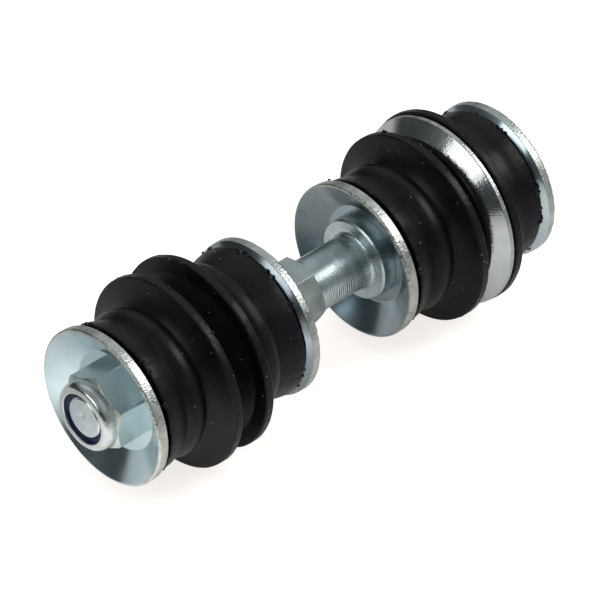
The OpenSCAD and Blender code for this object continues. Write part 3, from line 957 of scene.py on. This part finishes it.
# paper: matt and faintly warm, with a fibre that hardly shows
paper, tree, output = new_material("white paper")
place = add(tree, "ShaderNodeTexCoord").outputs["Object"]
fibre = add(tree, "ShaderNodeTexNoise", inputs={
    "Vector": place, "Scale": 1 / (FIBRE_MM * MM), "Detail": 4})
tone = add(tree, "ShaderNodeValToRGB", inputs={"Fac": fibre.outputs["Fac"]},
           stops=[(NOISE_LOW, "#cac7c5"), (NOISE_HIGH, "#d3d0ce")])
sheet = add(tree, "ShaderNodeBsdfDiffuse", inputs={"Color": tone.outputs["Color"]})
ray = add(tree, "ShaderNodeLightPath").outputs
pools = []
for centre, full_to, gone_at, pool_strength in POOLS:
    away = add(tree, "ShaderNodeVectorMath", {"operation": "DISTANCE"}, {0: place, 1: centre})
    pools.append(add(tree, "ShaderNodeMapRange", {"interpolation_type": "SMOOTHSTEP"}, {
        "Value": away.outputs["Value"], "From Min": full_to, "From Max": gone_at,
        "To Min": pool_strength, "To Max": 0.0}).outputs["Result"])
both = add(tree, "ShaderNodeMath", {"operation": "ADD"}, {0: pools[0], 1: pools[1]})
seen = add(tree, "ShaderNodeMath", {"operation": "MULTIPLY"}, {0: ray["Is Camera Ray"], 1: PAPER_GLOW})
# glossy rays see the painted pools of light as extra glow on the paper
mirrored = add(tree, "ShaderNodeMath", {"operation": "MULTIPLY"}, {
    0: ray["Is Glossy Ray"], 1: both.outputs[0]})
strength = add(tree, "ShaderNodeMath", {"operation": "ADD"}, {
    0: seen.outputs[0], 1: mirrored.outputs[0]})
glow = add(tree, "ShaderNodeEmission", inputs={
    "Color": linear("#fffaf6"), "Strength": strength.outputs[0]})
lit = add(tree, "ShaderNodeAddShader", inputs={0: sheet.outputs["BSDF"], 1: glow.outputs["Emission"]})
tree.links.new(lit.outputs["Shader"], output.inputs["Surface"])
print("made", paper.name, "with", len(POOLS), "pools of light")

# %% Table
TABLE_HALF = 0.7
table_mesh = bpy.data.meshes.new("table")
corner_signs = ((-1, -1), (1, -1), (1, 1), (-1, 1))
table_mesh.from_pydata([(x * TABLE_HALF, y * TABLE_HALF, table_z) for x, y in corner_signs],
                       [], [(0, 1, 2, 3)])
table_mesh.materials.append(paper)
table = bpy.data.objects.new("table", table_mesh)
scene.collection.objects.link(table)
print("table at", round(table_z / MM, 2), "mm")

# %% [markdown]
# ## The room
#
# Zinc is a mirror, so it needs a room to show. A picture of a studio could light the scene, but three soft
# lobes are enough here and stay in the script: a pale ceiling, a paler side to the right and a lighter
# patch behind the link, over a nearly dark level everywhere else. The camera itself sees plain white.

# %% Room
ROOM_LEVEL = 0.07
# direction, then the cosines where a lobe starts and is full, then its strength
LOBES = [((0, 0, 1), 0.30, 0.90, 0.42),
         ((0.54, -0.80, 0.25), 0.35, 0.95, 0.28),
         ((0.54, 0.53, 0.66), 0.75, 0.97, 0.45)]
world = bpy.data.worlds.new("studio room")
scene.world = world
world.use_nodes = True
tree = world.node_tree
tree.nodes.clear()
toward = add(tree, "ShaderNodeTexCoord").outputs["Generated"]
level = None
for direction, start, full, lobe_strength in LOBES:
    unit = Vector(direction).normalized()
    facing = add(tree, "ShaderNodeVectorMath", {"operation": "DOT_PRODUCT"}, {0: toward, 1: unit})
    lobe = add(tree, "ShaderNodeMapRange", {"interpolation_type": "SMOOTHSTEP"}, {
        "Value": facing.outputs["Value"], "From Min": start, "From Max": full,
        "To Min": 0 if level else ROOM_LEVEL, "To Max": lobe_strength})
    if level:
        level = add(tree, "ShaderNodeMath", {"operation": "ADD"}, {
            0: level, 1: lobe.outputs["Result"]}).outputs[0]
    else:
        level = lobe.outputs["Result"]
room = add(tree, "ShaderNodeBackground", inputs={"Color": linear("#f2f8fb"), "Strength": level})
plain = add(tree, "ShaderNodeBackground", inputs={"Color": (1, 1, 1, 1), "Strength": 1})
view = add(tree, "ShaderNodeMixShader", inputs={
    0: add(tree, "ShaderNodeLightPath").outputs["Is Camera Ray"],
    1: room.outputs["Background"], 2: plain.outputs["Background"]})
add(tree, "ShaderNodeOutputWorld", inputs={"Surface": view.outputs["Shader"]})
print("room lobes:", len(LOBES))

# %% [markdown]
# ## Soft boxes
#
# Two soft boxes make the bright bands on the metal and the soft highlights on the rubber, and a ceiling
# fills the shadows. Lamps could be set by their watts, but a mirror shows how bright a box's face is, so
# that is given, and the watts follow from its area. The ceiling stays out of the mirrors, where the room's
# lobes already show.

# %% Soft boxes
def soft_box(name, direction, distance, size, radiance, mirrored=True):
    """Area light at a direction from the link, whose face has the given brightness."""
    lamp = bpy.data.lights.new(name, "AREA")
    lamp.shape = "RECTANGLE"
    lamp.size, lamp.size_y = size
    lamp.energy = radiance * math.pi * size[0] * size[1]
    box = bpy.data.objects.new(name, lamp)
    toward_box = Vector(direction).normalized()
    box.location = toward_box * distance
    box.rotation_euler = (-toward_box).to_track_quat("-Z", "Y").to_euler()
    box.visible_glossy = mirrored
    scene.collection.objects.link(box)
    print(name, "at", [round(v, 2) for v in box.location], "gives", round(lamp.energy, 2), "W")


soft_box("left box", (-0.856, 0.045, 0.515), 0.9, (0.57, 0.47), 1.8)
soft_box("right box", (0.54, -0.42, 0.72), 1.0, (0.46, 0.46), 5.5)
soft_box("ceiling", (0, 0, 1), 1.5, (1.6, 1.6), 1.3, mirrored=False)
